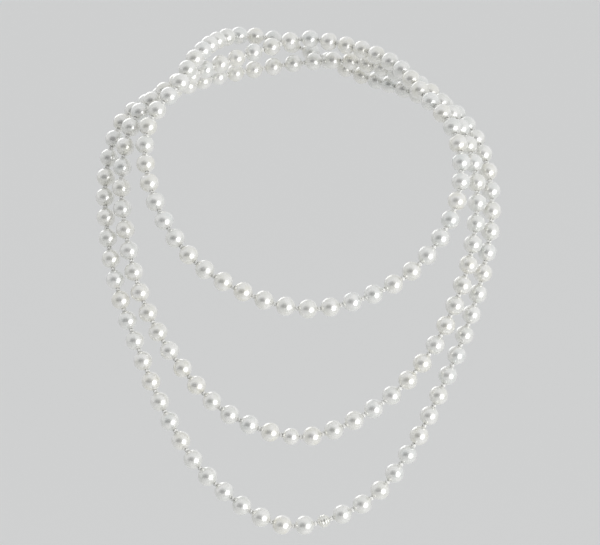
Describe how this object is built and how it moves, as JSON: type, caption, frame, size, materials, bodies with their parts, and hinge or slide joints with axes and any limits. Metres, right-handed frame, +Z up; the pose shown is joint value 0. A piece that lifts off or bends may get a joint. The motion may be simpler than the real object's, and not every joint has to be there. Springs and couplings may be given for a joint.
{
  "type": "pearl necklace",
  "caption": "Endless knotted string of imitation pearls, worn wound round the neck in graduated loops over the chest.",
  "frame": {"origin": "where the strand behind the inner loop crosses the middle of the nape, which is where the neck bears the necklace", "axes": "+Z up as worn, -Y the way the wearer faces, +X to the wearer's left"},
  "size_m": [0.1706, 0.1708, 0.1835],
  "materials": {
    "pearl": "gloss",
    "thread": "matte",
    "joining_bead": "gloss"
  },
  "bodies": {
    "nape_and_shoulders": {"nape_inner_1": "pearl", "nape_inner_2": "pearl", "nape_inner_3": "pearl", "nape_inner_4": "pearl", "nape_inner_5": "pearl", "nape_middle_1": "pearl", "nape_middle_2": "pearl", "nape_middle_3": "pearl", "nape_middle_4": "pearl", "nape_middle_5": "pearl", "nape_outer_1": "pearl", "nape_outer_2": "pearl", "nape_outer_3": "pearl", "nape_outer_4": "pearl", "nape_outer_5": "pearl", "nape_outer_6": "pearl", "inner_left_1": "pearl", "inner_right_1": "pearl", "middle_left_1": "pearl", "middle_right_1": "pearl", "middle_left_2": "pearl", "middle_right_2": "pearl", "outer_left_1": "pearl", "outer_right_1": "pearl", "outer_left_2": "pearl", "outer_right_2": "pearl", "outer_left_3": "pearl", "outer_right_3": "pearl"},
    "inner_level_2": {"inner_left_2": "pearl", "inner_right_2": "pearl"},
    "inner_level_3": {"inner_left_3": "pearl", "inner_right_3": "pearl"},
    "inner_level_4": {"inner_left_4": "pearl", "inner_right_4": "pearl"},
    "inner_level_5": {"inner_left_5": "pearl", "inner_right_5": "pearl"},
    "inner_bottom": {"inner_lowest": "pearl"},
    "middle_level_3": {"middle_left_3": "pearl", "middle_right_3": "pearl"},
    "middle_level_4": {"middle_left_4": "pearl", "middle_right_4": "pearl"},
    "middle_level_5": {"middle_left_5": "pearl", "middle_right_5": "pearl"},
    "middle_level_6": {"middle_left_6": "pearl", "middle_right_6": "pearl"},
    "middle_bottom": {"middle_lowest": "pearl"},
    "outer_level_4": {"outer_left_4": "pearl", "outer_right_4": "pearl"},
    "outer_level_5": {"outer_left_5": "pearl", "outer_right_5": "pearl"},
    "outer_level_6": {"outer_left_6": "pearl", "outer_right_6": "pearl"},
    "outer_level_7": {"outer_left_7": "pearl", "outer_right_7": "pearl"},
    "outer_bottom": {"outer_lowest": "pearl", "joining_bead": "joining_bead"}
  },
  "joints": [
    {"name": "inner_lift_2", "type": "hinge", "parent": "nape_and_shoulders", "child": "inner_level_2", "pos_m": [-0.00096, -0.07051, -0.02141], "axis": [-0.9999, 0.0094, 0.0038], "range_deg": [0, 30]},
    {"name": "inner_lift_3", "type": "hinge", "parent": "inner_level_2", "child": "inner_level_3", "pos_m": [0.00092, -0.09019, -0.04008], "axis": [-0.9998, 0.0175, -0.0092], "range_deg": [0, 30]},
    {"name": "inner_lift_4", "type": "hinge", "parent": "inner_level_3", "child": "inner_level_4", "pos_m": [0.00218, -0.1071, -0.06006], "axis": [-0.9995, 0.0305, -0.011], "range_deg": [0, 30]},
    {"name": "inner_lift_5", "type": "hinge", "parent": "inner_level_4", "child": "inner_level_5", "pos_m": [0.00259, -0.11798, -0.07748], "axis": [-0.9995, 0.0321, 0.002], "range_deg": [0, 30]},
    {"name": "inner_lift_bottom", "type": "hinge", "parent": "inner_level_5", "child": "inner_bottom", "pos_m": [0.0025, -0.12256, -0.08776], "axis": [-0.9993, 0.0353, 0.0089], "range_deg": [0, 30]},
    {"name": "middle_lift_3", "type": "hinge", "parent": "nape_and_shoulders", "child": "middle_level_3", "pos_m": [-0.00008, -0.09497, -0.06218], "axis": [-0.997, -0.0099, -0.0769], "range_deg": [0, 30]},
    {"name": "middle_lift_4", "type": "hinge", "parent": "middle_level_3", "child": "middle_level_4", "pos_m": [0.00099, -0.10882, -0.08527], "axis": [-0.9958, 0.0087, -0.0914], "range_deg": [0, 30]},
    {"name": "middle_lift_5", "type": "hinge", "parent": "middle_level_4", "child": "middle_level_5", "pos_m": [0.00245, -0.12087, -0.10697], "axis": [-0.9946, 0.0203, -0.1019], "range_deg": [0, 30]},
    {"name": "middle_lift_6", "type": "hinge", "parent": "middle_level_5", "child": "middle_level_6", "pos_m": [0.00331, -0.13059, -0.12575], "axis": [-0.9914, 0.0274, -0.1277], "range_deg": [0, 30]},
    {"name": "middle_lift_bottom", "type": "hinge", "parent": "middle_level_6", "child": "middle_bottom", "pos_m": [0.00441, -0.13636, -0.13766], "axis": [-0.9864, 0.025, -0.1622], "range_deg": [0, 30]},
    {"name": "outer_lift_4", "type": "hinge", "parent": "nape_and_shoulders", "child": "outer_level_4", "pos_m": [-0.00252, -0.10596, -0.08962], "axis": [-0.9987, 0.0409, 0.0292], "range_deg": [0, 20]},
    {"name": "outer_lift_5", "type": "hinge", "parent": "outer_level_4", "child": "outer_level_5", "pos_m": [-0.00276, -0.11915, -0.11208], "axis": [-0.9985, 0.0422, 0.0348], "range_deg": [0, 30]},
    {"name": "outer_lift_6", "type": "hinge", "parent": "outer_level_5", "child": "outer_level_6", "pos_m": [-0.00318, -0.13076, -0.13456], "axis": [-0.9981, 0.0464, 0.0407], "range_deg": [0, 30]},
    {"name": "outer_lift_7", "type": "hinge", "parent": "outer_level_6", "child": "outer_level_7", "pos_m": [-0.0034, -0.14036, -0.15575], "axis": [-0.997, 0.0497, 0.059], "range_deg": [0, 30]},
    {"name": "outer_lift_bottom", "type": "hinge", "parent": "outer_level_7", "child": "outer_bottom", "pos_m": [-0.00432, -0.14667, -0.17086], "axis": [-0.9964, 0.0498, 0.0692], "range_deg": [0, 30]}
  ]
}
